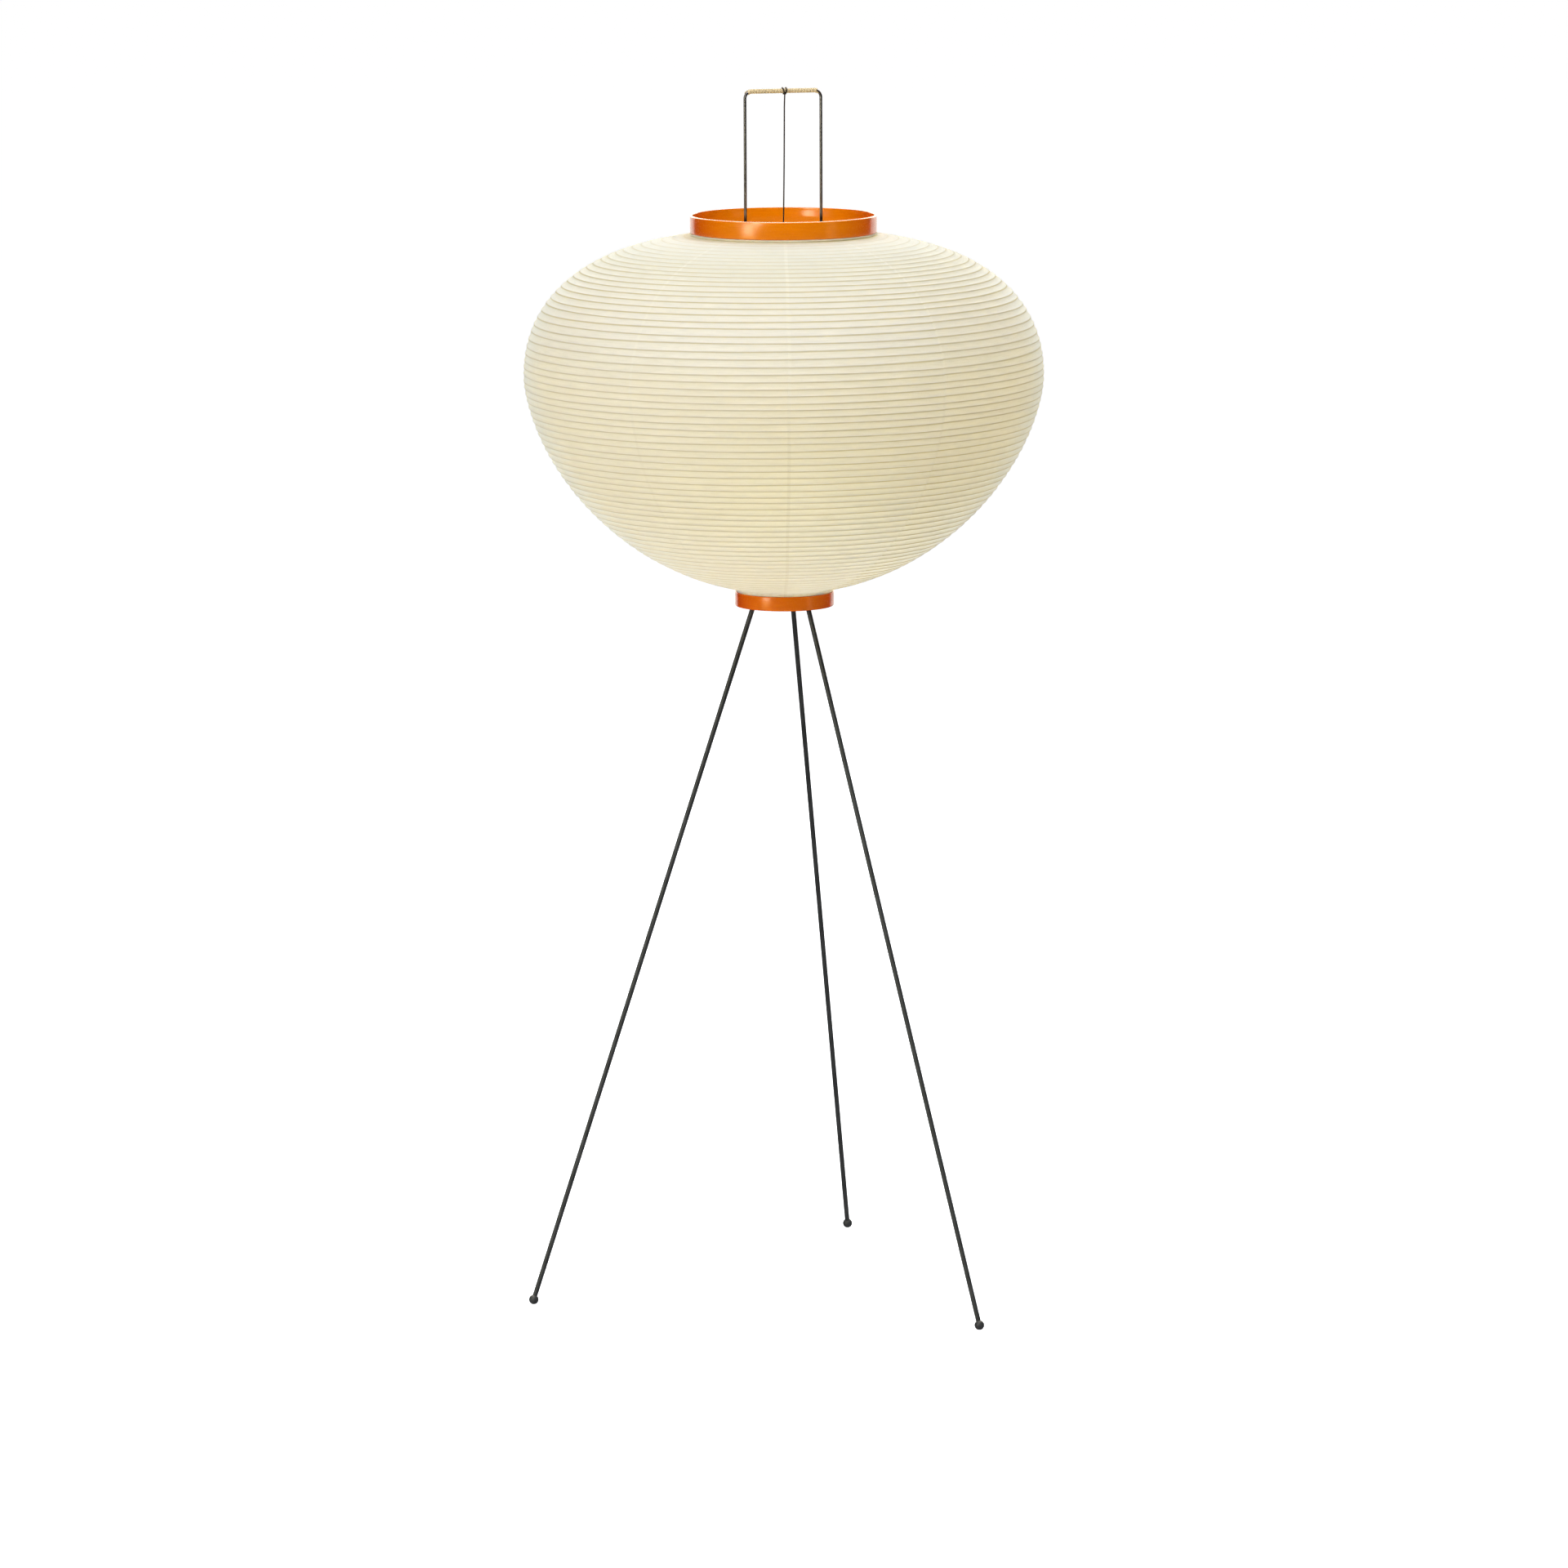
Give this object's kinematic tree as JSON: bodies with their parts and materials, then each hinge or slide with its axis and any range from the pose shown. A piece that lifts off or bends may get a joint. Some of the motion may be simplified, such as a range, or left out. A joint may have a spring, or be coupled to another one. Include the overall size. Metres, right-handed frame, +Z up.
{
  "type": "paper lantern floor lamp",
  "caption": "Ribbed paper lantern between lacquered hoops, stretched by a wire lift frame with a bound handle and held up by slim steel rod legs.",
  "frame": {"origin": "on the floor, on the lantern's axis", "axes": "+Z up; the lift frame lies in the XZ plane; leg_1 points to -X"},
  "size_m": [0.5422, 0.531, 1.2462],
  "materials": {
    "washi_paper": "thin translucent mulberry paper, matte",
    "bamboo": "split bamboo strip",
    "orange_lacquer": "bent wood hoop in gloss orange lacquer",
    "black_steel": "satin black lacquered steel rod and sheet",
    "steel_wire": "thin dark annealed wire",
    "cane_binding": "split cane binding",
    "brass": "plain machined and pressed brass",
    "black_plastic": "moulded thermoset",
    "porcelain": "unglazed insulator",
    "bulb_diffuser": "opal",
    "white_plastic": "moulded",
    "cap_metal": "pressed",
    "bulb_black": "moulded insulator"
  },
  "bodies": {
    "stand": {"shade_gore_1": "washi_paper", "shade_gore_2": "washi_paper", "shade_gore_3": "washi_paper", "shade_gore_4": "washi_paper", "shade_gore_5": "washi_paper", "shade_gore_6": "washi_paper", "shade_gore_7": "washi_paper", "shade_gore_8": "washi_paper", "shade_gore_9": "washi_paper", "shade_gore_10": "washi_paper", "bamboo_ribs": "bamboo", "lower_ring": "orange_lacquer", "frame_socket_left": "black_steel", "frame_socket_right": "black_steel", "hub_plate": "black_steel", "leg_socket_1": "black_steel", "leg_socket_2": "black_steel", "leg_socket_3": "black_steel", "leg_screws": "black_steel", "mounting_nipple": "brass", "locknuts": "brass", "cord_gland": "black_plastic", "lampholder_base": "black_plastic", "terminal_block": "porcelain", "lampholder_skirt": "black_plastic", "screw_shell": "brass", "centre_contact": "brass"},
    "top_hoop": {"top_ring": "orange_lacquer", "top_crossbar": "steel_wire"},
    "lift_frame": {"lift_frame": "black_steel", "handle_wrap": "cane_binding", "hanger_wire": "steel_wire"},
    "bulb": {"bulb_glass": "bulb_diffuser", "bulb_neck": "white_plastic", "bulb_cap": "cap_metal", "bulb_insulator": "bulb_black", "bulb_contact": "cap_metal"},
    "leg_1": {"leg_1": "black_steel", "foot_1": "black_steel"},
    "leg_2": {"leg_2": "black_steel", "foot_2": "black_steel"},
    "leg_3": {"leg_3": "black_steel", "foot_3": "black_steel"}
  },
  "joints": [
    {"name": "shade_collapse", "type": "slide", "parent": "stand", "child": "top_hoop", "axis": [0, 0, -1], "range_m": [0, 0.21], "deforming": ["shade_gore_1", "shade_gore_2", "shade_gore_3", "shade_gore_4", "shade_gore_5", "shade_gore_6", "shade_gore_7", "shade_gore_8", "shade_gore_9", "shade_gore_10", "bamboo_ribs"]},
    {"name": "frame_lift", "type": "slide", "parent": "stand", "child": "lift_frame", "axis": [0, 0, 1], "range_m": [0, 0.03]},
    {"name": "bulb_unscrew", "type": "slide", "parent": "stand", "child": "bulb", "axis": [0, 0, 1], "range_m": [0, 0.026]},
    {"name": "leg_1_pull", "type": "slide", "parent": "stand", "child": "leg_1", "axis": [-0.3173, 0, -0.9483], "range_m": [0, 0.03]},
    {"name": "leg_2_pull", "type": "slide", "parent": "stand", "child": "leg_2", "axis": [0.1587, 0.2748, -0.9483], "range_m": [0, 0.03]},
    {"name": "leg_3_pull", "type": "slide", "parent": "stand", "child": "leg_3", "axis": [0.1587, -0.2748, -0.9483], "range_m": [0, 0.03]}
  ]
}
